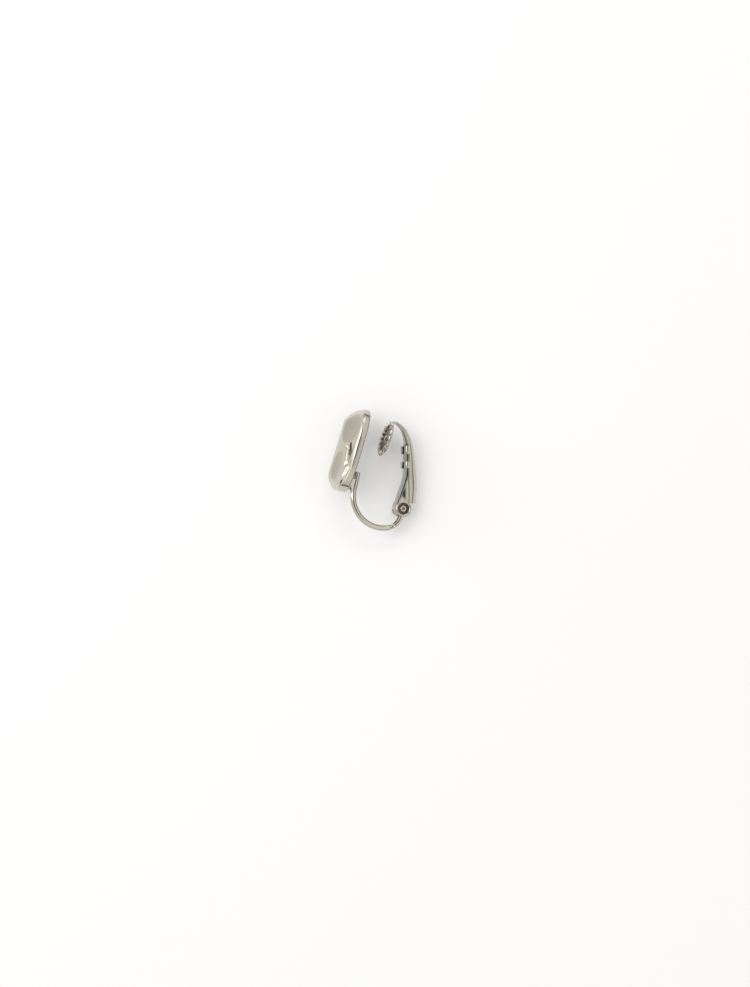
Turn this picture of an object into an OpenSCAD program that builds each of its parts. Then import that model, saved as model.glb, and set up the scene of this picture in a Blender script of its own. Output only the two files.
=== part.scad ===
// Clip-on earring with a hammered nugget front, a wire yoke and a sprung lever with a ribbed pad.
// It lies on its side, as it rests on a table by itself. Millimetres, +Z up.
//
// Each piece is drawn in the clip's own frame and then laid down as a whole.
// In that frame the hinge axis is Z through the origin, Y runs up the clip,
// and X runs from the front towards the back of the lever.

/* [Front] */
// Length of the front along its slope, above its middle
front_top = 7; // [6.5:0.1:7.4]
// Length of the front along its slope, below its middle
front_foot = 6.95; // [6.5:0.05:7.3]
// Width of the front
front_width = 8.5; // [8:0.25:9.5]
// Height of the front's flat crest above its back
front_height = 2.62; // [2.4:0.1:3]
// Squareness of the front's outline, 2 is an ellipse
front_squareness = 3; // [2:0.1:3.2]
// Lean of the front from upright, in degrees
front_lean = 17; // [15:1:19]

/* [Yoke] */
// Diameter of the yoke wire
wire_d = 0.94; // [0.8:0.02:1.1]
// Radius of the large bend of the yoke
bend_r = 5.1; // [4.9:0.05:5.2]
// Radius of the bend that leads up to the hinge
arm_bend_r = 2.65; // [2.6:0.05:2.7]
// Width of each fork arm in the plane of the clip
arm_w = 0.53; // [0.4:0.01:0.6]
// Thickness of each fork arm along the hinge
arm_t = 0.5; // [0.4:0.05:0.55]

/* [Lever] */
// Thickness of the lever's sheet
sheet_t = 0.3; // [0.25:0.01:0.32]
// Radius of the round hinge ears
ear_r = 1.27; // [1.2:0.01:1.3]
// Distance from the middle of the hinge to the outside of an ear
ear_out = 1.55; // [1.5:0.01:1.6]
// Radius of the round pressed seat in each ear
seat_r = 0.93; // [0.8:0.01:0.95]

/* [Pad] */
// Radius of the ear pad
pad_r = 2.97; // [2.8:0.01:3.05]
// Height of the pad's rim
pad_h = 0.56; // [0.5:0.01:0.7]
// Number of ribs round the pad
pad_ribs = 18; // [12:1:24]
// Lean of the pad from upright, in degrees
pad_lean = 18; // [17:0.5:21]

/* [Spring] */
// Thickness of the leaf spring
spring_t = 0.25; // [0.2:0.01:0.27]
// Width of the leaf spring
spring_w = 2.16; // [1.8:0.02:2.2]

/* [Hinge] */
// Radius of the hollow rivet
rivet_r = 0.36; // [0.3:0.01:0.37]
// Running clearance between the rivet and the yoke's eyes
run_gap = 0.04; // [0.03:0.01:0.06]

/* [Hidden] */
$fn = 48;

// The lying pose: it rests on the straight side of the front and on the round end of an ear
rest_roll = 3.95;
rest_yaw = 12.71;
rest_shift = [4.594, -6.211, 1.801];

// Places in the clip's own frame
front_mid = [-7.56, 9.16];
pad_mid = [-2.34, 11.22];
wire_lean = 13.3;
wire_run = 2.82;
arm_mid = [-arm_bend_r, -0.46];
bend_mid = [-2.9, arm_mid[1] - arm_bend_r + bend_r];
fork_from = 22;
fork_slot = 33;
fork_steps = 12;
bend_steps = 20;
arm_steps = 4;
wire_sides = 20;
eye_r = 0.8;
arm_out = 1.07;

// Facets of the front: a point on the facet, its height there, and its rise along and across
// columns: along, across, height, rise along, rise across
FACETS = [
    [3.2, 4, 1.12, -0.05, -0.28],
    [0, -2.5, front_height, 0, 0],
    [-1.75, 1.2, 1.98, 0.02, -0.2],
    [-1.25, 4, 1.12, 0.05, -0.5],
    [0, -4.25, 1.75, 0, 0.95],
    [4.77, -3, 2.57, -0.34, -0.1],
    [4.77, -3, 2.57, -0.62, -0.1],
    [6.55, -1.5, 1.42, -0.9, -0.1],
    [-5.25, 0, 2.3, 0.6, 0],
];
facet_blend = 0.09;

// Dents hammered into the facets
// columns: along, across, half length, half width, depth
DENTS = [
    [0.15, 2.95, 1.5, 0.7, 0.34],
    [-2.75, 3.3, 1.9, 0.5, 0.26],
    [3.2, 0.8, 2.2, 1.8, 0.12],
    [-2.8, -0.5, 2.4, 1.9, 0.12],
];

// The front's rounded outline is cut straight by this much on each side, and it lies on one of them
side_cut = 0.05;

// Mesh of the front
front_sides = 56;
face_rings = 10;
face_to = 0.94;
// columns: fraction of the outline, drop below the face
SHOULDER = [
    [0.958, 0.02],
    [0.974, 0.09],
    [0.986, 0.22],
];
// columns: fraction of the outline, height above the back
BACK_EDGE = [
    [1, 0.4],
    [0.992, 0.1],
    [0.97, 0],
];

// Lever from the pad's neck down to the square cut above the hinge
// columns: x and y of the back's crest, half width, depth of the channel
LEVER = [
    [-1.76, 13.96, 0.8, 0.3],
    [-1.2, 14.12, 0.8, 0.34],
    [-0.43, 13.82, 0.9, 0.4],
    [0.56, 12.97, 1.15, 0.55],
    [1.28, 11.80, 1.35, 0.78],
    [1.81, 10.27, 1.55, 1.02],
    [2.14, 8.50, 1.62, 1.24],
    [2.33, 6.56, 1.62, 1.43],
    [2.48, 4.63, 1.6, 1.68],
    [2.48, 2.69, 1.6, 1.72],
    [2.28, 0.84, 1.6, 1.52],
];
lever_steps = 3;
arch_steps = 10;

// Middle line of the leaf spring, from its top end to its tip
// columns: x, y
SPRING = [
    [0.68, 10.3],
    [0.68, 8.2],
    [0.68, 6.4],
    [0.6, 5.27],
    [0.36, 4.3],
    [0.08, 3.5],
    [-0.23, 2.69],
    [-0.49, 1.89],
    [-0.74, 1.24],
    [-0.97, 0.6],
    [-1.07, -0.05],
    [-0.95, -0.53],
    [-0.74, -0.9],
];
spring_steps = 3;

// Left edge of the hinge ears above their round ends
// columns: x, y
EAR_EDGE = [
    [0.82, 5.4],
    [0.62, 4.9],
    [0.34, 4.0],
    [0.02, 3.1],
    [-0.33, 2.25],
    [-0.75, 1.24],
];
ear_back_x = 1;
ear_seat_depth = 0.22;
ear_boss_r = 0.9;
ear_boss_in = 1.12;

// Claws: height of the middle and length along the lever
// columns: y, length
CLAWS = [
    [9.45, 1.3],
    [7.05, 1.1],
];
claw_x = 0.24;
claw_t = 0.25;
claw_root_x = 1.05;
claw_out = 1.62;
claw_reach = 0.75;

// A spline through a table's rows
function spline_row(rows, i, t) =
    let (
        a = rows[max(i - 1, 0)],
        b = rows[i],
        c = rows[i + 1],
        d = rows[min(i + 2, len(rows) - 1)]
    )
    0.5 * (2 * b + (c - a) * t + (2 * a - 5 * b + 4 * c - d) * t * t + (3 * b - a - 3 * c + d) * t * t * t);
function spline(rows, steps) = [
    for (i = [0:len(rows) - 2]) for (k = [0:steps - 1]) spline_row(rows, i, k / steps),
    rows[len(rows) - 1]
];

// Unit direction of a curve at one of its points, and the same turned a quarter to the left
function heading(points, i) =
    let (
        a = points[max(i - 1, 0)],
        b = points[min(i + 1, len(points) - 1)],
        d = [b[0] - a[0], b[1] - a[1]]
    )
    d / norm(d);
function left_of(d) = [-d[1], d[0]];

// Height of the front above its flat back
function sum(values, i = 0) = i < len(values) ? values[i] + sum(values, i + 1) : 0;
function facet_height(f, s, w) = f[2] + f[3] * (s - f[0]) + f[4] * (w - f[1]);
function soft_min(values, k) = -k * ln(sum([for (v = values) exp(-v / k)]));
function dent_depth(d, s, w) =
    let (reach = pow((s - d[0]) / d[2], 2) + pow((w - d[1]) / d[3], 2))
    d[4] * exp(-pow(reach, 1.5));
function face_height(s, w) =
    soft_min([for (f = FACETS) facet_height(f, s, w)], facet_blend)
    - sum([for (d = DENTS) dent_depth(d, s, w)]);

// A point of the front's outline, as [across, along]
function signed_pow(v, p) = sign(v) * pow(abs(v), p);
function outline(a) =
    let (across = (front_width / 2 + side_cut) * signed_pow(sin(a), 2 / front_squareness))
    [
        sign(across) * min(abs(across), front_width / 2),
        (cos(a) > 0 ? front_top : front_foot) * signed_pow(cos(a), 2 / front_squareness)
    ];

// One ring of the front: the outline drawn in by a fraction, at the face's height less a drop
function face_ring(fraction, drop) = [
    for (i = [0:front_sides - 1])
        let (p = fraction * outline(360 * i / front_sides))
        [p[0], p[1], face_height(p[1], p[0]) - drop]
];
function flat_ring(fraction, height) = [
    for (i = [0:front_sides - 1])
        let (p = fraction * outline(360 * i / front_sides))
        [p[0], p[1], height]
];

// A closed mesh through rings of equal length, with a point at each end
module ringed_solid(first, rings, last) {
    n = len(rings[0]);
    count = len(rings);
    points = [first, for (ring = rings) for (p = ring) p, last];
    end = len(points) - 1;
    faces = [
        for (i = [0:n - 1]) [0, 1 + i, 1 + (i + 1) % n],
        for (r = [0:count - 2]) for (i = [0:n - 1])
            let (a = 1 + r * n + i, b = 1 + r * n + (i + 1) % n)
            each [[a, a + n, b], [b, a + n, b + n]],
        for (i = [0:n - 1])
            let (a = 1 + (count - 1) * n)
            [end, a + (i + 1) % n, a + i]
    ];
    polyhedron(points, faces);
}

// Turns local X, Y, Z to the hinge's direction, up the leaning plane, and out towards the front
module on_leaning_plane(mid, lean) {
    multmatrix([
        [0, sin(lean), -cos(lean), mid[0]],
        [0, cos(lean), sin(lean), mid[1]],
        [1, 0, 0, 0],
        [0, 0, 0, 1]
    ]) children();
}

module front() {
    face = [for (j = [1:face_rings]) face_ring(face_to * j / face_rings, 0)];
    shoulder = [for (row = SHOULDER) face_ring(row[0], row[1])];
    back = [for (row = BACK_EDGE) flat_ring(row[0], row[1])];
    on_leaning_plane(front_mid, front_lean)
        ringed_solid([0, 0, face_height(0, 0)], concat(face, shoulder, back), [0, 0, 0]);
}

// Solder foot between the front's back and the wire
module foot() {
    foot_t = 0.84;
    translate([0, 0, -foot_t / 2])
        linear_extrude(foot_t)
            polygon([[-9.8, 3.7], [-8.65, 3.02], [-8.3, 2.5], [-7.9, 3.1], [-7.5, 4.7], [-8, 4.9], [-9.2, 5.2]]);
}

// Stations down the wire: place, direction and radius, from the cut top end into the fork
function on_circle(mid, r, a) = mid + r * [cos(a), sin(a)];
function round_to(a) = [-sin(a), cos(a)];
function wire_stations() =
    let (
        r = wire_d / 2,
        soft = 0.12,
        down = [-sin(wire_lean), -cos(wire_lean)],
        foot_end = on_circle(bend_mid, bend_r, 180 - wire_lean),
        top = foot_end - wire_run * down
    )
    [
        [top, down, r - soft],
        [top + soft * down, down, r],
        for (k = [1:3]) [top + k / 4 * wire_run * down, down, r],
        for (k = [0:bend_steps])
            let (a = 180 - wire_lean + (90 + wire_lean) * k / bend_steps)
            [on_circle(bend_mid, bend_r, a), round_to(a), r],
        for (k = [0:arm_steps])
            let (a = 270 + (fork_from + 3) * k / arm_steps)
            [on_circle(arm_mid, arm_bend_r, a), round_to(a), r]
    ];

module wire() {
    stations = wire_stations();
    rings = [
        for (s = stations)
            let (side = left_of(s[1]))
            [
                for (i = [0:wire_sides - 1])
                    let (a = 360 * i / wire_sides, p = s[0] + s[2] * cos(a) * side)
                    [p[0], p[1], s[2] * sin(a)]
            ]
    ];
    first = stations[0][0];
    last = stations[len(stations) - 1][0];
    ringed_solid([first[0], first[1], 0], rings, [last[0], last[1], 0]);
}

// The flattened end of the wire, split by a slot into two arms with an eye each.
// It is cut from one bar, so both arms grow out of the same paddle.
module fork() {
    arm_in = arm_out - arm_t;
    function edge(r) = [
        for (k = [0:fork_steps])
            on_circle(arm_mid, r, 270 + fork_from + (90 - fork_from) * k / fork_steps)
    ];
    outer = concat(edge(arm_bend_r + arm_w / 2), [[arm_w / 2, 0]]);
    inner = concat(edge(arm_bend_r - arm_w / 2), [[-arm_w / 2, 0]]);
    difference() {
        union() {
            translate([0, 0, -arm_out])
                linear_extrude(2 * arm_out)
                    polygon(concat(outer, [for (i = [len(inner) - 1:-1:0]) inner[i]]));
            cylinder(r = eye_r, h = 2 * arm_out, center = true);
        }
        translate([0, 0, -arm_in])
            linear_extrude(2 * arm_in)
                polygon([
                    on_circle(arm_mid, arm_bend_r - 1, 270 + fork_slot),
                    on_circle(arm_mid, arm_bend_r + 1.2, 270 + fork_slot),
                    [2, 1.2],
                    [-1.2, 1.2]
                ]);
    }
}

module front_and_yoke() {
    color("silver") {
        front();
        difference() {
            union() {
                foot();
                wire();
                fork();
            }
            cylinder(r = rivet_r + run_gap, h = 4 * arm_out, center = true);
        }
    }
}

// The channel of the lever: a half-elliptic arch swept down the back's line
module channel() {
    rows = spline(LEVER, lever_steps);
    function arch(row, out, inset) = [
        for (k = [0:arch_steps])
            let (
                turn = -90 + 180 * k / arch_steps,
                depth = row[3],
                run = (depth - inset) * cos(turn) - depth
            )
            [row[0] + out[0] * run, row[1] + out[1] * run, (row[2] - inset) * sin(turn)]
    ];
    function reversed(list) = [for (i = [len(list) - 1:-1:0]) list[i]];
    sections = [
        for (i = [0:len(rows) - 1])
            let (out = left_of(heading(rows, i)))
            concat(arch(rows[i], out, 0), reversed(arch(rows[i], out, sheet_t)))
    ];
    n = len(sections[0]);
    count = len(sections);
    points = [for (section = sections) each section];
    strip = [
        for (k = [0:arch_steps - 1])
            each [[k, k + 1, n - 1 - k], [k + 1, n - 2 - k, n - 1 - k]]
    ];
    last = (count - 1) * n;
    faces = [
        each strip,
        for (r = [0:count - 2]) for (i = [0:n - 1])
            let (a = r * n + i, b = r * n + (i + 1) % n)
            each [[a, a + n, b], [b, a + n, b + n]],
        for (f = strip) [last + f[0], last + f[2], last + f[1]]
    ];
    polyhedron(points, faces);
}

module ears() {
    ear_in = ear_out - sheet_t;
    for (side = [0, 1]) mirror([0, 0, side]) {
        difference() {
            union() {
                translate([0, 0, ear_in])
                    linear_extrude(sheet_t)
                        polygon(concat(EAR_EDGE, [[-1.22, 0.35], [0, 0], [1.3, 0.1], [1.33, 0.6], [ear_back_x, 0.86],
                            [ear_back_x, 5.4]]));
                translate([0, 0, ear_in]) cylinder(r = ear_r, h = sheet_t);
                translate([0, 0, ear_boss_in]) cylinder(r = ear_boss_r, h = ear_out - ear_boss_in - 0.1);
            }
            translate([0, 0, ear_out - ear_seat_depth]) cylinder(r = seat_r, h = 1);
            cylinder(r = rivet_r + 0.01, h = 4);
        }
    }
}

module claws() {
    for (side = [0, 1]) mirror([0, 0, side])
        for (claw = CLAWS)
            translate([0, claw[0] - claw[1] / 2, 0])
                rotate([-90, 0, 0])
                    linear_extrude(claw[1])
                        polygon([
                            [claw_root_x, -claw_out],
                            [claw_x + 0.1, -claw_out],
                            [claw_x, -claw_out + 0.1],
                            [claw_x, -claw_out + claw_reach],
                            [claw_x + claw_t, -claw_out + claw_reach],
                            [claw_x + claw_t, -claw_out + claw_t],
                            [claw_root_x, -claw_out + claw_t]
                        ]);
}

// The dished pad with its ribbed rim towards the front
module pad() {
    floor_t = 0.26;
    rim_in = 2;
    rib_r = 0.2;
    on_leaning_plane(pad_mid, pad_lean) {
        difference() {
            rotate_extrude()
                polygon([
                    [0, 0], [pad_r - 0.3, 0], [pad_r - 0.08, 0.1], [pad_r, 0.28], [pad_r - 0.06, pad_h - 0.12],
                    [pad_r - 0.25, pad_h], [rim_in + 0.35, pad_h], [rim_in, floor_t], [0, floor_t]
                ]);
            for (i = [0:pad_ribs - 1])
                rotate(360 * (i + 0.5) / pad_ribs)
                    translate([rim_in, 0, pad_h + 0.02])
                        rotate([0, 90, 0])
                            cylinder(r = rib_r, h = 2);
        }
        translate([0, 0, floor_t - 0.1]) cylinder(r1 = 0.6, r2 = 0.35, h = 0.28);
    }
}

module lever() {
    color("gainsboro") {
        channel();
        ears();
        claws();
        pad();
    }
}

module leaf_spring() {
    points = spline(SPRING, spring_steps);
    function side(offset) = [
        for (i = [0:len(points) - 1])
            let (out = left_of(heading(points, i)))
            [points[i][0] + offset * out[0], points[i][1] + offset * out[1]]
    ];
    left = side(-spring_t / 2);
    right = side(spring_t / 2);
    color("lightgray")
        translate([0, 0, -spring_w / 2])
            linear_extrude(spring_w)
                polygon(concat(left, [for (i = [len(right) - 1:-1:0]) right[i]]));
}

module hinge_rivet() {
    lip_r = 0.5;
    lip_t = 0.13;
    hollow_r = 0.2;
    seat = ear_out - ear_seat_depth + 0.01;
    color("darkgray")
        difference() {
            union() {
                cylinder(r = rivet_r, h = 2 * seat, center = true);
                for (side = [0, 1]) mirror([0, 0, side]) translate([0, 0, seat]) cylinder(r = lip_r, h = lip_t);
            }
            cylinder(r = hollow_r, h = 4, center = true);
        }
}

module laid_down() {
    translate(rest_shift) rotate([rest_roll, rest_yaw, 0]) children();
}

laid_down() front_and_yoke();
laid_down() lever();
laid_down() leaf_spring();
laid_down() hinge_rivet();
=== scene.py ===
"""Clip-on earring with a hammered nugget front, a wire yoke and a sprung lever with a ribbed pad.

Every piece is drawn in millimetres in the clip's own frame and then laid down as a whole.
In that frame the hinge axis is Z through the origin, Y runs up the clip,
and X runs from the front towards the back of the lever.
"""

import math

import bpy
import numpy as np
from mathutils import Euler, Matrix, Vector


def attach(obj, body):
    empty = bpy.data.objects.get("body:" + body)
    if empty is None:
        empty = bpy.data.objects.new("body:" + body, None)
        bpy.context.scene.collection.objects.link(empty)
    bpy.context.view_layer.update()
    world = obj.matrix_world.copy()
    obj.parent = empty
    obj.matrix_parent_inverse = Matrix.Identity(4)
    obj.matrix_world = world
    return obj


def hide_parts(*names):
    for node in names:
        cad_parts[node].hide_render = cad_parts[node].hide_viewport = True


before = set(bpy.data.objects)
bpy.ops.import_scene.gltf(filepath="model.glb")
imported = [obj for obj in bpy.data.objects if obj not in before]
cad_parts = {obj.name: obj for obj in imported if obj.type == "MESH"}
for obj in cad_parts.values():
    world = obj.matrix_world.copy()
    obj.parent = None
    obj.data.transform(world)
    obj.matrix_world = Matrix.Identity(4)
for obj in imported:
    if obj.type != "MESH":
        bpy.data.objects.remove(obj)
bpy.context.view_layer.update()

# The lying pose, in degrees and millimetres
REST_ROLL = 3.95
REST_YAW = 12.71
REST_SHIFT = Vector((4.594, -6.211, 1.801))
MM = 0.001

# Sizes that the pieces share, in millimetres
WIRE_R = 0.47
BEND_R = 5.1
ARM_BEND_R = 2.65
ARM_W = 0.53
ARM_OUT = 1.07
ARM_IN = 0.57
EYE_R = 0.8
RIVET_R = 0.36
EYE_BORE_R = 0.4
SHEET_T = 0.3
EAR_OUT = 1.55
EAR_IN = 1.25
EAR_R = 1.27
SEAT_R = 0.93
SEAT_Z = 1.33
PAD_R = 2.97
PAD_H = 0.56
PAD_RIBS = 18
SPRING_T = 0.25
SPRING_W = 2.16

FRONT_MID = (-7.56, 9.16)
FRONT_LEAN = 17
PAD_MID = (-2.34, 11.22)
PAD_LEAN = 18
ARM_MID = (-ARM_BEND_R, -0.46)
BEND_MID = (-2.9, ARM_MID[1] - ARM_BEND_R + BEND_R)


def lay_down():
    """Matrix from the clip's own frame in millimetres to the part's frame in metres."""
    turn = Euler((math.radians(REST_ROLL), math.radians(REST_YAW), 0), "XYZ").to_matrix().to_4x4()
    return Matrix.Translation(REST_SHIFT * MM) @ turn @ Matrix.Scale(MM, 4)


LAY = lay_down()


def leaning_plane(mid, lean):
    """Matrix that turns local X, Y, Z to the hinge's direction, up the slope, and out to the front."""
    s = math.sin(math.radians(lean))
    c = math.cos(math.radians(lean))
    return Matrix(((0, s, -c, mid[0]), (0, c, s, mid[1]), (1, 0, 0, 0), (0, 0, 0, 1)))


# Curves and sections

def spline(rows, steps):
    """A Catmull-Rom curve through the rows, with that many steps between two of them."""
    rows = np.array(rows, float)
    last = len(rows) - 1
    out = []
    for i in range(last):
        a, b, c, d = rows[max(i - 1, 0)], rows[i], rows[i + 1], rows[min(i + 2, last)]
        for k in range(steps):
            t = k / steps
            out.append(0.5 * (2 * b + (c - a) * t + (2 * a - 5 * b + 4 * c - d) * t ** 2
                              + (3 * b - a - 3 * c + d) * t ** 3))
    out.append(rows[last])
    return np.array(out)


def headings(points):
    """Unit direction of a plane curve at each of its points."""
    step = np.gradient(points, axis=0)
    return step / np.linalg.norm(step, axis=1)[:, None]


def arc(mid, r, start, end, steps):
    """Points on a circle between two angles in degrees."""
    turns = [math.radians(start + (end - start) * k / steps) for k in range(steps + 1)]
    return [(mid[0] + r * math.cos(a), mid[1] + r * math.sin(a)) for a in turns]


def offset_strip(points, half):
    """The two long edges of a strip of even thickness along a plane curve."""
    points = np.array(points, float)
    direction = headings(points)
    side = np.stack([-direction[:, 1], direction[:, 0]], axis=1)
    return [tuple(p) for p in points + half * side], [tuple(p) for p in points - half * side]


# Mesh building

BEVEL_STEPS = 3


def add_piece(name, verts, faces, body, material, place=None, bevel=0.0, sharp=40,
              tarnish_and_shade=None, recess=None):
    """Makes one piece: the bevel is worked out in millimetres, then the mesh is laid down in metres.

    The shade list gives, at each vertex from 0 to 1, how much shade is painted, on a piece without a bevel.
    The recess test says of a place in the piece's own frame whether the dark painted-shade metal goes
    there.
    """
    mesh = bpy.data.meshes.new(name)
    mesh.from_pydata([tuple(map(float, v)) for v in verts], [], [list(f) for f in faces])
    mesh.validate()
    obj = bpy.data.objects.new(name, mesh)
    bpy.context.scene.collection.objects.link(obj)
    if bevel:
        edge = obj.modifiers.new("bevel", "BEVEL")
        edge.width = bevel
        edge.segments = BEVEL_STEPS
        edge.limit_method = "ANGLE"
        edge.angle_limit = math.radians(sharp)
        edge.use_clamp_overlap = True
        bevelled = obj.evaluated_get(bpy.context.evaluated_depsgraph_get())
        settled = bpy.data.meshes.new_from_object(bevelled)
        obj.modifiers.clear()
        obj.data = settled
        mesh = settled
    # Faces in a recess get the dark painted-shade metal
    sunk = [bool(recess and recess(*face.center)) for face in mesh.polygons]
    mesh.transform(LAY @ (place or Matrix.Identity(4)))
    # The painted shade at each vertex is kept as an attribute
    if tarnish_and_shade is not None:
        mesh.attributes.new("tarnish_and_shade", "FLOAT", "POINT").data.foreach_set("value", np.array(tarnish_and_shade, float))
    mesh.materials.clear()
    mesh.materials.append(material)
    if any(sunk):
        mesh.materials.append(PAINTED_SHADE_METAL)
        mesh.polygons.foreach_set("material_index", [int(dark) for dark in sunk])
    mesh.shade_smooth()
    mesh.set_sharp_from_angle(angle=math.radians(sharp))
    mesh.update()
    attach(obj, body)
    return obj


def ringed(rings, first=None, last=None):
    """Vertices and faces of a tube through rings of equal length.

    Each end is closed by a fan to the point given for it, or else by one flat face.
    """
    n = len(rings[0])
    verts = [p for ring in rings for p in ring]
    faces = []
    for r in range(len(rings) - 1):
        for i in range(n):
            j = (i + 1) % n
            faces.append((r * n + i, r * n + j, (r + 1) * n + j, (r + 1) * n + i))
    top = (len(rings) - 1) * n
    if first is None:
        faces.append(tuple(reversed(range(n))))
    else:
        verts.append(first)
        faces += [(len(verts) - 1, (i + 1) % n, i) for i in range(n)]
    if last is None:
        faces.append(tuple(top + i for i in range(n)))
    else:
        verts.append(last)
        faces += [(len(verts) - 1, top + i, top + (i + 1) % n) for i in range(n)]
    return verts, faces


def prism(outline, low, high):
    """A plate between two heights along the hinge, from an outline that runs anticlockwise."""
    return ringed([[(x, y, low) for x, y in outline], [(x, y, high) for x, y in outline]])


def lathe(profile, steps):
    """A closed profile of radius and height turned round the hinge's direction."""
    n = len(profile)
    verts = []
    for k in range(steps):
        a = 2 * math.pi * k / steps
        verts += [(r * math.cos(a), r * math.sin(a), z) for r, z in profile]
    faces = []
    for k in range(steps):
        m = (k + 1) % steps
        for i in range(n):
            j = (i + 1) % n
            faces.append((k * n + i, m * n + i, m * n + j, k * n + j))
    return verts, faces


def joined(*parts):
    """Several closed shells as one list of vertices and faces."""
    verts, faces = [], []
    for v, f in parts:
        shift = len(verts)
        verts += list(v)
        faces += [tuple(i + shift for i in face) for face in f]
    return verts, faces


def mirrored(part):
    """The same shell on the other side of the clip's middle plane."""
    verts, faces = part
    return [(x, y, -z) for x, y, z in verts], [tuple(reversed(f)) for f in faces]


# Materials

# The patches and scratches that all the metals share, per metre and in metres
PATCH_GRAIN = 420
PATCH_DETAIL = 4
SCRATCH_DETAIL = 5
SCRATCH_HEIGHT = 0.00002
# From which to which value of the patches the gloss and the film change
GLOSS_FROM = 0.3
GLOSS_TO = 0.7
FILM_FROM = 0.32
FILM_TO = 0.6
# Roughness of the glossiest and the dullest patches, as shares of the metal's own
GLOSSIEST = 0.7
DULLEST = 1.4
# Colour that the painted shade mixes the base colour towards
PAINTED_SHADE_COLOR = (0.09, 0.07, 0.045, 1)


def metal(name, color, rough, grain, stretch, bump, tarnish):
    """Polished metal with uneven gloss, fine scratches along the piece, a darker tarnish in random patches,
    and painted shade mixed in where the vertex attribute asks for it.
    """
    material = bpy.data.materials.new(name)
    material.use_nodes = True
    nodes, links = material.node_tree.nodes, material.node_tree.links
    shader = nodes["Principled BSDF"]
    shader.inputs["Metallic"].default_value = 1.0
    place = nodes.new("ShaderNodeTexCoord")
    scale = nodes.new("ShaderNodeMapping")
    scale.inputs["Scale"].default_value = stretch
    links.new(place.outputs["Object"], scale.inputs["Vector"])

    scratches = nodes.new("ShaderNodeTexNoise")
    scratches.inputs["Scale"].default_value = grain
    scratches.inputs["Detail"].default_value = SCRATCH_DETAIL
    links.new(scale.outputs["Vector"], scratches.inputs["Vector"])
    patches = nodes.new("ShaderNodeTexNoise")
    patches.inputs["Scale"].default_value = PATCH_GRAIN
    patches.inputs["Detail"].default_value = PATCH_DETAIL
    links.new(place.outputs["Object"], patches.inputs["Vector"])

    gloss = nodes.new("ShaderNodeMapRange")
    gloss.inputs["From Min"].default_value = GLOSS_FROM
    gloss.inputs["From Max"].default_value = GLOSS_TO
    gloss.inputs["To Min"].default_value = rough * GLOSSIEST
    gloss.inputs["To Max"].default_value = rough * DULLEST
    links.new(patches.outputs["Fac"], gloss.inputs["Value"])
    links.new(gloss.outputs["Result"], shader.inputs["Roughness"])

    tarnish_and_shade = nodes.new("ShaderNodeValToRGB")
    tarnish_and_shade.color_ramp.elements[0].position = FILM_FROM
    tarnish_and_shade.color_ramp.elements[0].color = (*[c * tarnish for c in color], 1)
    tarnish_and_shade.color_ramp.elements[1].position = FILM_TO
    tarnish_and_shade.color_ramp.elements[1].color = (*color, 1)
    links.new(patches.outputs["Fac"], tarnish_and_shade.inputs["Fac"])
    # Painted shade: the per-vertex attribute mixes the base colour towards the dark painted shade colour
    depth = nodes.new("ShaderNodeAttribute")
    depth.attribute_name = "tarnish_and_shade"
    recess = nodes.new("ShaderNodeMixRGB")
    recess.inputs["Color2"].default_value = PAINTED_SHADE_COLOR
    links.new(depth.outputs["Fac"], recess.inputs["Fac"])
    links.new(tarnish_and_shade.outputs["Color"], recess.inputs["Color1"])
    links.new(recess.outputs["Color"], shader.inputs["Base Color"])

    dents = nodes.new("ShaderNodeBump")
    dents.inputs["Strength"].default_value = bump
    dents.inputs["Distance"].default_value = SCRATCH_HEIGHT
    links.new(scratches.outputs["Fac"], dents.inputs["Height"])
    links.new(dents.outputs["Normal"], shader.inputs["Normal"])
    return material


# columns: name, colour, roughness, the scratches' grain, stretch and strength, the tarnish's brightness
FRONT_METAL = metal("polished_front", (0.56, 0.53, 0.45), 0.13, 7000, (1, 1, 1), 0.05, 0.95)
LEVER_METAL = metal("lever_plate", (0.56, 0.53, 0.455), 0.14, 9000, (1, 0.15, 1), 0.14, 0.92)
WIRE_METAL = metal("drawn_wire", (0.60, 0.57, 0.49), 0.06, 9000, (1, 0.3, 1), 0.05, 0.96)
SPRING_METAL = metal("spring_strip", (0.42, 0.40, 0.37), 0.18, 12000, (1, 0.08, 1), 0.18, 0.90)
# The dark metal put in recesses is painted shade
PAINTED_SHADE_METAL = metal("painted_recess_shade", (0.15, 0.11, 0.085), 0.30, 9000, (1, 1, 1), 0.20, 0.60)
RIVET_METAL = metal("rivet_metal", (0.58, 0.54, 0.46), 0.12, 9000, (1, 1, 1), 0.08, 0.90)

# The hammered front

FRONT_TOP = 7
FRONT_FOOT = 6.95
FRONT_WIDTH = 8.5
FRONT_HEIGHT = 2.62
SQUARENESS = 3.0
SIDE_CUT = 0.05
# The upright wall stands this much inside the solid's bulging one
DRAWN_IN = 0.985
OUTLINE_STEPS = 300
FACE_RINGS = 90
FIRST_RING = 0.012
FACET_BLEND = 0.09
# columns: along, across, height, rise along, rise across
FACETS = [
    (3.2, 4, 1.12, -0.05, -0.28),
    (0, -2.5, FRONT_HEIGHT, 0, 0),
    (-1.75, 1.2, 1.98, 0.02, -0.2),
    (-1.25, 4, 1.12, 0.05, -0.5),
    (0, -4.25, 1.75, 0, 0.95),
    (4.77, -3, 2.57, -0.34, -0.1),
    (4.77, -3, 2.57, -0.62, -0.1),
    (6.55, -1.5, 1.42, -0.9, -0.1),
    (-5.25, 0, 2.3, 0.6, 0),
]
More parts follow.
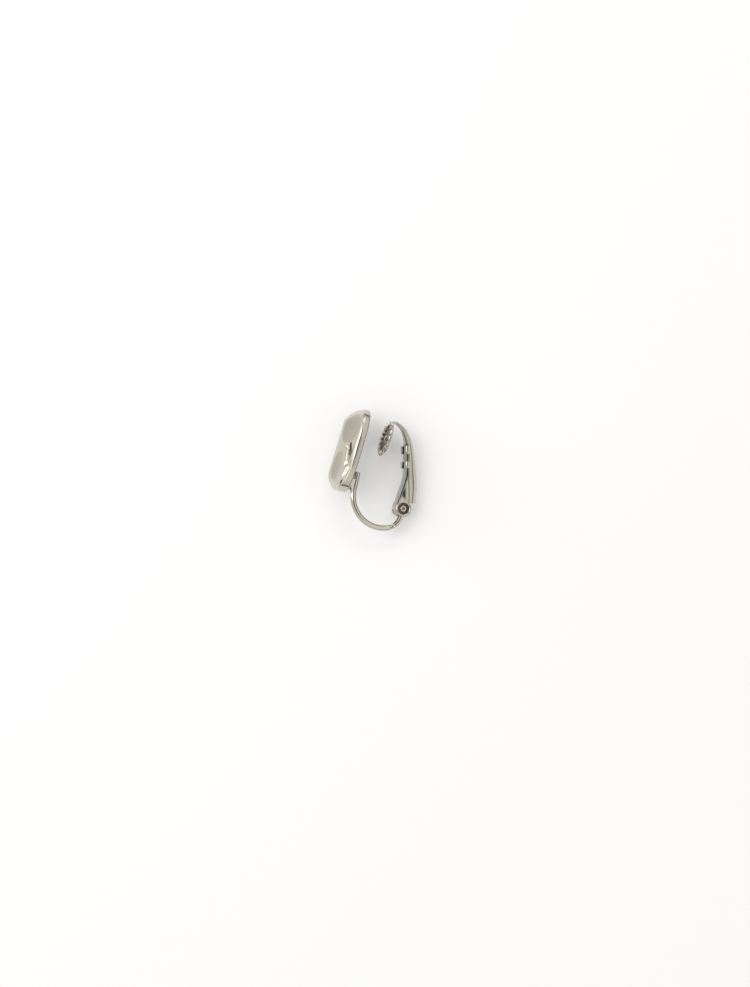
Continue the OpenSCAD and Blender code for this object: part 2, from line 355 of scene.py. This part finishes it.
# Shallow dishes with a crisp rim, as a round hammer leaves them, and how much darker reflection is painted
# in each from 0 to 1
# columns: along, across, half length, half width, depth, darkness
DISHES = [
    (3.35, 0.75, 2.55, 2.75, 0.24, 0.30),
    (-3.0, -0.35, 2.35, 1.9, 0.16, 0.26),
    (0.0, 2.8, 1.5, 0.75, 0.16, 0.0),
]
RIM_BLEND = 0.08
# Steps where the face drops towards the near side, each along a line, and how they fade at its ends
# columns: along and across of the line's points, width, depth, run-out beyond
STEPS = [
    (((0.5, 0.95), (-1.17, 1.8), (-2.15, 2.22), (-3.1, 2.33)), 0.25, 0.33, 2.2),
    (((-2.7, 3.28), (-3.62, 2.9), (-4.75, 2.45)), 0.28, 0.25, 1.2),
]
STEP_FADE = 0.8
STEP_START = 0.25
# Dark patches painted on the face as dark reflections: the painted shade is fullest on the line between two
# points and ends at the given half width
# columns: along and across at each end, half width, darkness
PAINTED_DARK_PATCHES = [
    ((0.85, 2.3), (-0.95, 2.42), 0.42, 1.0),
    ((-5.2, 2.9), (-5.75, 2.55), 0.24, 1.0),
    ((-1.2, 3.15), (-2.3, 3.5), 0.10, 0.5),
]
DARK_PATCH_TAPER = 0.55
DARK_PATCH_BLEND = 0.09
# The shoulder between face and wall: it takes this share of the outline where it is softest
SHOULDER_SHARE = 0.06
SHOULDER_DROP = 0.3
SHOULDER_FROM = 0.08
SHOULDER_RINGS = 9
CRISPNESS = 0.25
SOFT_ABOVE = -1.9
SOFT_RUN = 0.9
# The wall and the edge of the flat back
# columns: share of the outline, height, darkness of the painted shade line along the back edge
WALL = [
    (1, 0.45, 0.0),
    (1, 0.2, 0.0),
    (1, 0.16, 0.0),
    (0.995, 0.06, 0.9),
    (0.984, 0.01, 0.9),
    (0.97, 0, 0.0),
    (0.5, 0, 0.0),
]


def eased(t):
    """From 0 to 1 with a level start and end."""
    return t * t * (3 - 2 * t)


def face_height(s, w):
    """Height of the front's face above its flat back, at places along and across it."""
    planes = [h + up * (s - s0) + side * (w - w0) for s0, w0, h, up, side in FACETS]
    height = -FACET_BLEND * np.log(sum(np.exp(-p / FACET_BLEND) for p in planes))
    for s0, w0, a, b, depth, _ in DISHES:
        reach = ((s - s0) / a) ** 2 + ((w - w0) / b) ** 2
        height = height - depth * np.clip(1 - reach, 0, None)
    for line, width, depth, run_out in STEPS:
        places = sorted(line)
        start, end = places[0][0], places[-1][0]
        beyond = w - np.interp(s, [p[0] for p in places], [p[1] for p in places])
        drop = np.clip(beyond / width, 0, 1)
        rise = np.clip((beyond - width) / run_out, 0, 1)
        fade = eased(np.clip(np.minimum(s - start, end - s) / STEP_FADE + STEP_START, 0, 1))
        height = height - depth * fade * drop * (1 - eased(rise))
    return height


def painted_face_shade(s, w):
    """How much darker reflection and shade is painted on the face at places along and across it."""
    tarnish_and_shade = np.zeros_like(s)
    for s0, w0, a, b, _, dark in DISHES:
        inside = 1 - np.hypot((s - s0) / a, (w - w0) / b)
        tarnish_and_shade = np.maximum(tarnish_and_shade, dark * np.clip(inside / RIM_BLEND + 0.5, 0, 1))
    for (s0, w0), (s1, w1), half, dark in PAINTED_DARK_PATCHES:
        run = (s1 - s0) ** 2 + (w1 - w0) ** 2
        t = np.clip(((s - s0) * (s1 - s0) + (w - w0) * (w1 - w0)) / run, 0, 1)
        away = np.hypot(s - s0 - t * (s1 - s0), w - w0 - t * (w1 - w0))
        width = half * (1 - DARK_PATCH_TAPER * np.abs(2 * t - 1))
        tarnish_and_shade = np.maximum(tarnish_and_shade, dark * np.clip((width - away) / DARK_PATCH_BLEND + 0.5, 0, 1))
    return tarnish_and_shade


def front_outline(count):
    """Across and along of the front's outline."""
    a = 2 * np.pi * np.arange(count) / count
    power = 2 / SQUARENESS
    across = (FRONT_WIDTH / 2 + SIDE_CUT) * np.sign(np.sin(a)) * np.abs(np.sin(a)) ** power
    across = np.clip(across, -FRONT_WIDTH / 2, FRONT_WIDTH / 2)
    reach = np.where(np.cos(a) > 0, FRONT_TOP, FRONT_FOOT)
    along = reach * np.sign(np.cos(a)) * np.abs(np.cos(a)) ** power
    return DRAWN_IN * across, DRAWN_IN * along


def hammered_front():
    across, along = front_outline(OUTLINE_STEPS)
    rings = []
    # How much darker reflection and shade is painted at each vertex, ring by ring
    tarnish_and_shade = []

    def face_ring(fraction, drop):
        w, s = across * fraction, along * fraction
        rings.append(list(zip(w, s, face_height(s, w) - drop)))
        tarnish_and_shade.extend(painted_face_shade(s, w))

    for fraction in np.linspace(FIRST_RING, 1 - SHOULDER_SHARE, FACE_RINGS):
        face_ring(fraction, 0)
    # The shoulder is soft above the middle of the front and crisp below it
    soft = CRISPNESS + (1 - CRISPNESS) * np.clip((along - SOFT_ABOVE) / SOFT_RUN, 0, 1)
    for t in np.linspace(SHOULDER_FROM, 1, SHOULDER_RINGS):
        turn = t * math.pi / 2
        fraction = 1 - SHOULDER_SHARE * soft * (1 - math.sin(turn))
        face_ring(fraction, SHOULDER_DROP * soft * (1 - math.cos(turn)))
    # A dark line of painted shade runs along the edge of the back
    for fraction, height, dark in WALL:
        rings.append([(w * fraction, s * fraction, height) for w, s in zip(across, along)])
        tarnish_and_shade.extend([dark] * len(across))
    tarnish_and_shade += [0.0, 0.0]
    middle = (0, 0, float(face_height(np.array(0.0), np.array(0.0))))
    verts, faces = ringed(rings, middle, (0, 0, 0))
    place = leaning_plane(FRONT_MID, FRONT_LEAN)
    obj = add_piece("hammered_front", verts, faces, "yoke", FRONT_METAL, place,
                    sharp=60, tarnish_and_shade=tarnish_and_shade)
    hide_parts("front_and_yoke")


# The wire, its solder foot and its fork

WIRE_LEAN = 13.3
WIRE_RUN = 2.82
WIRE_SIDES = 40
BEND_STEPS = 70
RUN_STEPS = 14
# How much thinner the wire gets where the fork begins
ARM_TAPER = 0.16
# The wire's rounded tip, and where the even wire starts
# columns: distance from the tip, radius
WIRE_TIP = [
    (0, 0.30),
    (0.02, 0.38),
    (0.06, 0.44),
    (0.13, WIRE_R),
]
EVEN_FROM = 0.3
EVEN_TO = WIRE_RUN - 0.15
# columns: x, y
FOOT = [
    (-9.8, 3.7),
    (-8.65, 3.02),
    (-8.3, 2.5),
    (-7.9, 3.1),
    (-7.5, 4.7),
    (-8, 4.9),
    (-9.2, 5.2),
]
# columns: height, share by which the outline is drawn in
FOOT_EDGE = [
    (0.16, 0),
    (0.32, 0.03),
    (0.4, 0.08),
    (0.42, 0.16),
]
FOOT_HALF = 0.43
# Where the fork's flat part and its slot start, in degrees round the arm
FORK_FROM = 22
FORK_SLOT = 33
FORK_LAP = 1.5
WIRE_LAP = 3
ARM_END_Y = -0.5
EYE_STEPS = 64


def tube(line, radii, sides):
    """A round bar along a line in the clip's plane."""
    line = np.array(line, float)
    direction = headings(line)
    rings = []
    for p, d, r in zip(line, direction, radii):
        ring = []
        for i in range(sides):
            a = 2 * math.pi * i / sides
            ring.append((p[0] - d[1] * r * math.cos(a), p[1] + d[0] * r * math.cos(a), -r * math.sin(a)))
        rings.append(ring)
    return ringed(rings, (line[0][0], line[0][1], 0), (line[-1][0], line[-1][1], 0))


def yoke_wire():
    lean = math.radians(WIRE_LEAN)
    down = np.array([-math.sin(lean), -math.cos(lean)])
    bend = arc(BEND_MID, BEND_R, 180 - WIRE_LEAN, 270, BEND_STEPS)
    top = np.array(bend[0]) - WIRE_RUN * down
    line = [tuple(top + t * down) for t, _ in WIRE_TIP]
    radii = [r for _, r in WIRE_TIP]
    straight = [tuple(top + t * down) for t in np.linspace(EVEN_FROM, EVEN_TO, RUN_STEPS)]
    arm = arc(ARM_MID, ARM_BEND_R, 270, 270 + FORK_FROM + WIRE_LAP, RUN_STEPS)[1:]
    line += straight + bend + arm
    radii += [WIRE_R] * (len(straight) + len(bend))
    radii += [WIRE_R - ARM_TAPER * (k / len(arm)) ** 3 for k in range(1, len(arm) + 1)]
    verts, faces = tube(line, radii, WIRE_SIDES)
    obj = add_piece("yoke_wire", verts, faces, "yoke", WIRE_METAL, sharp=50)
    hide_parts("front_and_yoke")


def solder_foot():
    smooth = spline(FOOT + [FOOT[0]], 5)[:-1]
    middle = smooth.mean(axis=0)
    lower_half = [(-height, inset) for height, inset in reversed(FOOT_EDGE)]
    rings = [[(*(middle + (p - middle) * (1 - inset)), height) for p in smooth]
             for height, inset in lower_half + FOOT_EDGE]
    verts, faces = ringed(rings, (*middle, -FOOT_HALF), (*middle, FOOT_HALF))
    obj = add_piece("solder_foot", verts, faces, "yoke", WIRE_METAL, sharp=55)
    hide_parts("front_and_yoke")


def yoke_fork():
    def band(start, end, steps):
        outer = arc(ARM_MID, ARM_BEND_R + ARM_W / 2, 270 + start, 270 + end, steps)
        inner = arc(ARM_MID, ARM_BEND_R - ARM_W / 2, 270 + start, 270 + end, steps)
        return outer, inner

    outer, inner = band(FORK_FROM, FORK_SLOT + FORK_LAP, 10)
    paddle = prism(outer + inner[::-1], -ARM_OUT, ARM_OUT)
    outer, inner = band(FORK_SLOT, 90, 30)
    outer.append((ARM_W / 2, ARM_END_Y))
    inner.append((-ARM_W / 2, ARM_END_Y))
    arm = prism(outer + inner[::-1], ARM_IN, ARM_OUT)
    section = [(EYE_BORE_R, ARM_IN), (EYE_R, ARM_IN), (EYE_R, ARM_OUT), (EYE_BORE_R, ARM_OUT)]
    eye = lathe(section, EYE_STEPS)
    verts, faces = joined(paddle, arm, mirrored(arm), eye, mirrored(eye))
    obj = add_piece("yoke_fork", verts, faces, "yoke", WIRE_METAL, bevel=0.07, sharp=45)
    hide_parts("front_and_yoke")


# The lever, its ears, claws and pad

# columns: x and y of the back's crest, half width, depth of the channel
LEVER = [
    (-1.76, 13.96, 0.8, 0.3),
    (-1.2, 14.12, 0.8, 0.34),
    (-0.43, 13.82, 0.9, 0.4),
    (0.56, 12.97, 1.15, 0.55),
    (1.28, 11.80, 1.35, 0.78),
    (1.81, 10.27, 1.55, 1.08),
    (2.14, 8.50, 1.62, 1.36),
    (2.33, 6.56, 1.62, 1.57),
    (2.48, 4.63, 1.6, 1.76),
    (2.48, 2.69, 1.6, 1.72),
    (2.28, 0.84, 1.6, 1.52),
]
# columns: x, y
EAR_EDGE = [
    (0.82, 5.4),
    (0.62, 4.9),
    (0.34, 4.0),
    (0.02, 3.1),
    (-0.33, 2.25),
    (-0.75, 1.24),
]
EAR_BACK_X = 1
EAR_BACK_LOW = 0.86
EAR_BACK_HIGH = 5.4
EAR_FOOT_R = 1.1
EAR_FOOT_TURN = 142
# The ring pressed out round the hinge: the inner side of its section, from the bore outwards
# columns: radius, height
EAR_COLLAR = [
    (RIVET_R + 0.01, 1.12),
    (0.84, 1.12),
    (0.9, 1.17),
    (0.9, EAR_IN),
    (1.2, EAR_IN),
    (EAR_R, EAR_IN + 0.05),
]
EAR_CROWN = 0.09
EAR_STEPS = 96
SEAT_FROM_Z = 1.2
LEVER_STEPS = 30
LIP_ROUNDING = (0.12, 0.5, 0.88)
# columns: y, length
CLAWS = [
    (9.45, 1.3),
    (7.05, 1.1),
]
CLAW_X = 0.24
CLAW_T = 0.25
CLAW_ROOT_X = 1.05
CLAW_OUT = 1.62
CLAW_REACH = 0.75
CLAW_BEND = 0.2


def lever_channel():
    rows = spline(LEVER, 9)
    direction = headings(rows[:, :2])
    rings = []
    for row, d in zip(rows, direction):
        out = np.array([-d[1], d[0]])
        half = row[2]
        depth = row[3]

        def at(turn, inset):
            run = (depth - inset) * math.cos(turn) - depth
            return (row[0] + out[0] * run, row[1] + out[1] * run, (half - inset) * math.sin(turn))

        turns = [math.radians(-90 + 180 * k / LEVER_STEPS) for k in range(LEVER_STEPS + 1)]
        outer = [at(t, 0.0) for t in turns[1:-1]]
        inner = [at(t, SHEET_T) for t in reversed(turns[1:-1])]
        near_lip = [at(turns[-1], SHEET_T * k) for k in LIP_ROUNDING]
        far_lip = [at(turns[0], SHEET_T * k) for k in reversed(LIP_ROUNDING)]
        rings.append(outer + near_lip + inner + far_lip)
    verts, faces = ringed(rings)
    obj = add_piece("lever_channel", verts, faces, "lever", LEVER_METAL,
                    bevel=0.04, sharp=50)
    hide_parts("lever")


def lever_ears():
    edge = [tuple(p) for p in spline(EAR_EDGE, 4)]
    round_part = arc((0, 0), EAR_FOOT_R, EAR_FOOT_TURN, 180 - EAR_FOOT_TURN, 24)
    outline = edge + round_part + [(EAR_BACK_X, EAR_BACK_LOW), (EAR_BACK_X, EAR_BACK_HIGH)]
    plate = prism(outline, EAR_IN, EAR_OUT - 0.02)
    crown = [(SEAT_R + (EAR_R - SEAT_R) * t, EAR_OUT - EAR_CROWN * (2 * t - 1) ** 2)
             for t in np.linspace(0, 1, 9)]
    seat = [(SEAT_R, SEAT_Z + 0.06), (SEAT_R - 0.05, SEAT_Z), (EAR_COLLAR[0][0], SEAT_Z)]
    profile = EAR_COLLAR + crown[::-1] + seat
    ring = lathe(profile, EAR_STEPS)
    verts, faces = joined(plate, ring, mirrored(plate), mirrored(ring))

    # The seat round the rivet gets painted shade
    def in_seat(x, y, z):
        return math.hypot(x, y) < SEAT_R + 0.02 and abs(z) > SEAT_FROM_Z

    obj = add_piece("lever_ears", verts, faces, "lever", LEVER_METAL,
                    bevel=0.035, sharp=50, recess=in_seat)
    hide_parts("lever")


def spring_claws():
    half = CLAW_T / 2
    x_mid, z_mid = CLAW_X + half, CLAW_OUT - half
    line = [(CLAW_ROOT_X, z_mid), (x_mid + 2 * CLAW_BEND, z_mid)]
    line += arc((x_mid + CLAW_BEND, z_mid - CLAW_BEND), CLAW_BEND, 90, 180, 8)
    line += [(x_mid, z_mid - 2 * CLAW_BEND), (x_mid, CLAW_OUT - CLAW_REACH)]
    left, right = offset_strip(line, half)
    shells = []
    for middle, length in CLAWS:
        low, high = middle - length / 2, middle + length / 2
        section = left + right[::-1]
        rings = [[(x, y, z) for x, z in section] for y in (low, high)]
        claw = ringed(rings)
        shells += [claw, mirrored(claw)]
    verts, faces = joined(*shells)
    obj = add_piece("spring_claws", verts, faces, "lever", LEVER_METAL, bevel=0.06, sharp=45)
    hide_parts("lever")


GROOVE_R = 0.2
DISH_FLOOR = 0.26
RIM_IN = 2.0
RIM_RISE = 0.35
RIM_FALL = 0.25
RIM_FALL_DROP = 0.12
PIP_R = 0.6
PIP_SLOPE = 0.25
PIP_H = 0.18
# Where shade is painted in the pad's sunk dish
DISH_IN = 0.62
DISH_OUT = 2.12
DISH_LOW = 0.2
DISH_HIGH = 0.45
# Radii of the pad's rings, closer together where the height changes
PAD_RINGS = [
    0.1, 0.3, 0.36, 0.45, 0.54, 0.62, 1.0, 1.4, 1.8, 1.99, 2.03,
    2.1, 2.2, 2.3, 2.36, 2.5, 2.65, 2.72, 2.78, 2.84, 2.89, 2.91,
]
# The rounded edge of the pad's back
# columns: radius, height
PAD_BACK = [
    (PAD_R, 0.28),
    (PAD_R - 0.03, 0.17),
    (PAD_R - 0.08, 0.1),
    (PAD_R - 0.18, 0.03),
    (PAD_R - 0.3, 0),
    (1.5, 0),
]


def ear_pad():
    """The dished pad: a grooved rim round a sunk middle with a small pip."""
    steps = PAD_RIBS * 20
    rings = []

    def rim_height(r):
        if r < RIM_IN:
            return DISH_FLOOR
        if r < RIM_IN + RIM_RISE:
            return DISH_FLOOR + (PAD_H - DISH_FLOOR) * math.sin((r - RIM_IN) / RIM_RISE * math.pi / 2)
        if r < PAD_R - RIM_FALL:
            return PAD_H
        return PAD_H - RIM_FALL_DROP * ((r - PAD_R + RIM_FALL) / 0.19) ** 2

    def groove(r, a):
        if r < RIM_IN:
            return 0.0
        spacing = 2 * math.pi / PAD_RIBS
        off = abs((a / spacing) % 1 - 0.5) * spacing * r
        return math.sqrt(max(GROOVE_R ** 2 - off ** 2, 0.0))

    def pip(r):
        return PIP_H * min(max((PIP_R - r) / PIP_SLOPE, 0.0), 1.0)

    angles = [2 * math.pi * k / steps for k in range(steps)]
    for r in PAD_RINGS:
        ring = []
        for a in angles:
            height = rim_height(r) + pip(r) - groove(r, a)
            ring.append((r * math.cos(a), r * math.sin(a), max(height, DISH_FLOOR)))
        rings.append(ring)
    for r, z in PAD_BACK:
        rings.append([(r * math.cos(a), r * math.sin(a), z) for a in angles])
    verts, faces = ringed(rings, (0, 0, DISH_FLOOR + PIP_H), (0, 0, 0))
    place = leaning_plane(PAD_MID, PAD_LEAN)

    # The sunk dish between the pip and the rim gets painted shade
    def in_dish(x, y, z):
        return DISH_IN < math.hypot(x, y) < DISH_OUT and DISH_LOW < z < DISH_HIGH

    obj = add_piece("ear_pad", verts, faces, "lever", LEVER_METAL, place,
                    sharp=45, recess=in_dish)
    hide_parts("lever")


# The spring and the rivet

# columns: x, y
SPRING = [
    (0.68, 10.3),
    (0.68, 8.2),
    (0.68, 6.4),
    (0.6, 5.27),
    (0.36, 4.3),
    (0.08, 3.5),
    (-0.23, 2.69),
    (-0.49, 1.89),
    (-0.74, 1.24),
    (-0.97, 0.6),
    (-1.07, -0.05),
    (-0.95, -0.53),
    (-0.74, -0.9),
]


def leaf_spring():
    left, right = offset_strip(spline(SPRING, 8), SPRING_T / 2)
    verts, faces = prism(left[::-1] + right, -SPRING_W / 2, SPRING_W / 2)
    obj = add_piece("leaf_spring", verts, faces, "lever", SPRING_METAL,
                    bevel=0.05, sharp=45)
    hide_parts("leaf_spring")


LIP_R = 0.5
LIP_H = 0.13
HOLLOW_R = 0.2
RIVET_STEPS = 72


def hinge_rivet():
    lip_mid = (LIP_R + HOLLOW_R) / 2
    lip_half = (LIP_R - HOLLOW_R) / 2
    seat = SEAT_Z + 0.01
    crown = [(lip_mid + lip_half * math.cos(t), seat + LIP_H * math.sin(t))
             for t in np.linspace(0, math.pi, 13)]
    upper = [(RIVET_R, seat)] + crown
    profile = [(r, -z) for r, z in reversed(upper)] + upper
    verts, faces = lathe(profile, RIVET_STEPS)
    obj = add_piece("hinge_rivet", verts, faces, "lever", RIVET_METAL, sharp=50)
    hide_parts("hinge_rivet")


# Floor, light and camera, in metres

FLOOR_HALF = 1.2
FLOOR_Z = -0.00002
FLOOR_COLOR = (0.69, 0.69, 0.688, 1)
FLOOR_GLOW = 0.25
# The tent's brightness by the height that a ray looks to, from 0 at the horizon to 1 overhead
# columns: height, brightness
TENT = [
    (0.08, 0.05),
    (0.16, 0.35),
    (0.30, 0.82),
    (0.75, 0.95),
    (0.905, 0.92),
    (0.935, 0.05),
]
HORIZON_COLOR = (0.05, 0.045, 0.04, 1)
OVERHEAD_COLOR = (0.05, 0.04, 0.035, 1)
VIEW_TURN = 14
VIEW_DISTANCE = 0.30
VIEW_HEIGHT = 0.1592
AIM_RIGHT = -0.004253
AIM_UP = 0.002452
SENSOR = 24


def floor():
    mesh = bpy.data.meshes.new("floor")
    corners = [(-1, -1), (1, -1), (1, 1), (-1, 1)]
    mesh.from_pydata([(x * FLOOR_HALF, y * FLOOR_HALF, FLOOR_Z) for x, y in corners], [], [(0, 1, 2, 3)])
    obj = bpy.data.objects.new("floor", mesh)
    bpy.context.scene.collection.objects.link(obj)
    material = bpy.data.materials.new("pale_floor")
    material.use_nodes = True
    shader = material.node_tree.nodes["Principled BSDF"]
    shader.inputs["Base Color"].default_value = FLOOR_COLOR
    shader.inputs["Roughness"].default_value = 0.9
    shader.inputs["Specular IOR Level"].default_value = 0.1
    shader.inputs["Emission Color"].default_value = (1, 1, 1, 1)
    shader.inputs["Emission Strength"].default_value = FLOOR_GLOW
    mesh.materials.append(material)


def soft_light(name, place, size, power):
    """A rectangular light that faces the origin."""
    light = bpy.data.lights.new(name, "AREA")
    light.shape = "RECTANGLE"
    light.size, light.size_y = size
    light.energy = power
    obj = bpy.data.objects.new(name, light)
    obj.location = place
    obj.rotation_euler = (-Vector(place)).to_track_quat("-Z", "Y").to_euler()
    bpy.context.scene.collection.objects.link(obj)


def studio():
    """A white tent: pale all round, darker along the horizon and where the camera stands overhead."""
    world = bpy.data.worlds.new("studio")
    world.use_nodes = True
    nodes, links = world.node_tree.nodes, world.node_tree.links
    direction = nodes.new("ShaderNodeTexCoord")
    parts = nodes.new("ShaderNodeSeparateXYZ")
    links.new(direction.outputs["Generated"], parts.inputs["Vector"])
    tent = nodes.new("ShaderNodeValToRGB")
    ramp = tent.color_ramp
    ramp.elements[0].color = HORIZON_COLOR
    ramp.elements[1].color = OVERHEAD_COLOR
    for height, shade in TENT:
        step = ramp.elements.new(height)
        step.color = (shade, shade * 0.985, shade * 0.96, 1)
    links.new(parts.outputs["Z"], tent.inputs["Fac"])
    background = nodes["Background"]
    links.new(tent.outputs["Color"], background.inputs["Color"])
    background.inputs["Strength"].default_value = 1.0
    bpy.context.scene.world = world
    soft_light("left_box", (-0.45, 0.15, 0.36), (0.42, 1.1), 2.6)
    soft_light("top_box", (0.0, 0.5, 0.40), (0.5, 0.12), 0.55)
    bpy.context.scene.view_settings.view_transform = "Standard"


def camera():
    """At the photograph's angle to the clip, turned from the hinge's direction towards the front's side."""
    side = math.radians(VIEW_TURN)
    turn = LAY.to_3x3().normalized()
    back = turn @ Vector((-math.sin(side), 0, math.cos(side)))
    right = turn @ Vector((math.cos(side), 0, math.sin(side)))
    up = turn @ Vector((0, 1, 0))
    aim = REST_SHIFT * MM + right * AIM_RIGHT + up * AIM_UP
    data = bpy.data.cameras.new("camera")
    data.sensor_fit = "VERTICAL"
    data.sensor_height = SENSOR
    data.lens = SENSOR * VIEW_DISTANCE / VIEW_HEIGHT
    data.clip_start = 0.005
    obj = bpy.data.objects.new("camera", data)
    turned = Matrix((right, up, back)).transposed().to_4x4()
    obj.matrix_world = Matrix.Translation(aim + back * VIEW_DISTANCE) @ turned
    bpy.context.scene.collection.objects.link(obj)
    bpy.context.scene.camera = obj


camera()
floor()
studio()
hammered_front()
yoke_wire()
solder_foot()
yoke_fork()
lever_channel()
lever_ears()
spring_claws()
ear_pad()
leaf_spring()
hinge_rivet()

bpy.context.view_layer.update()
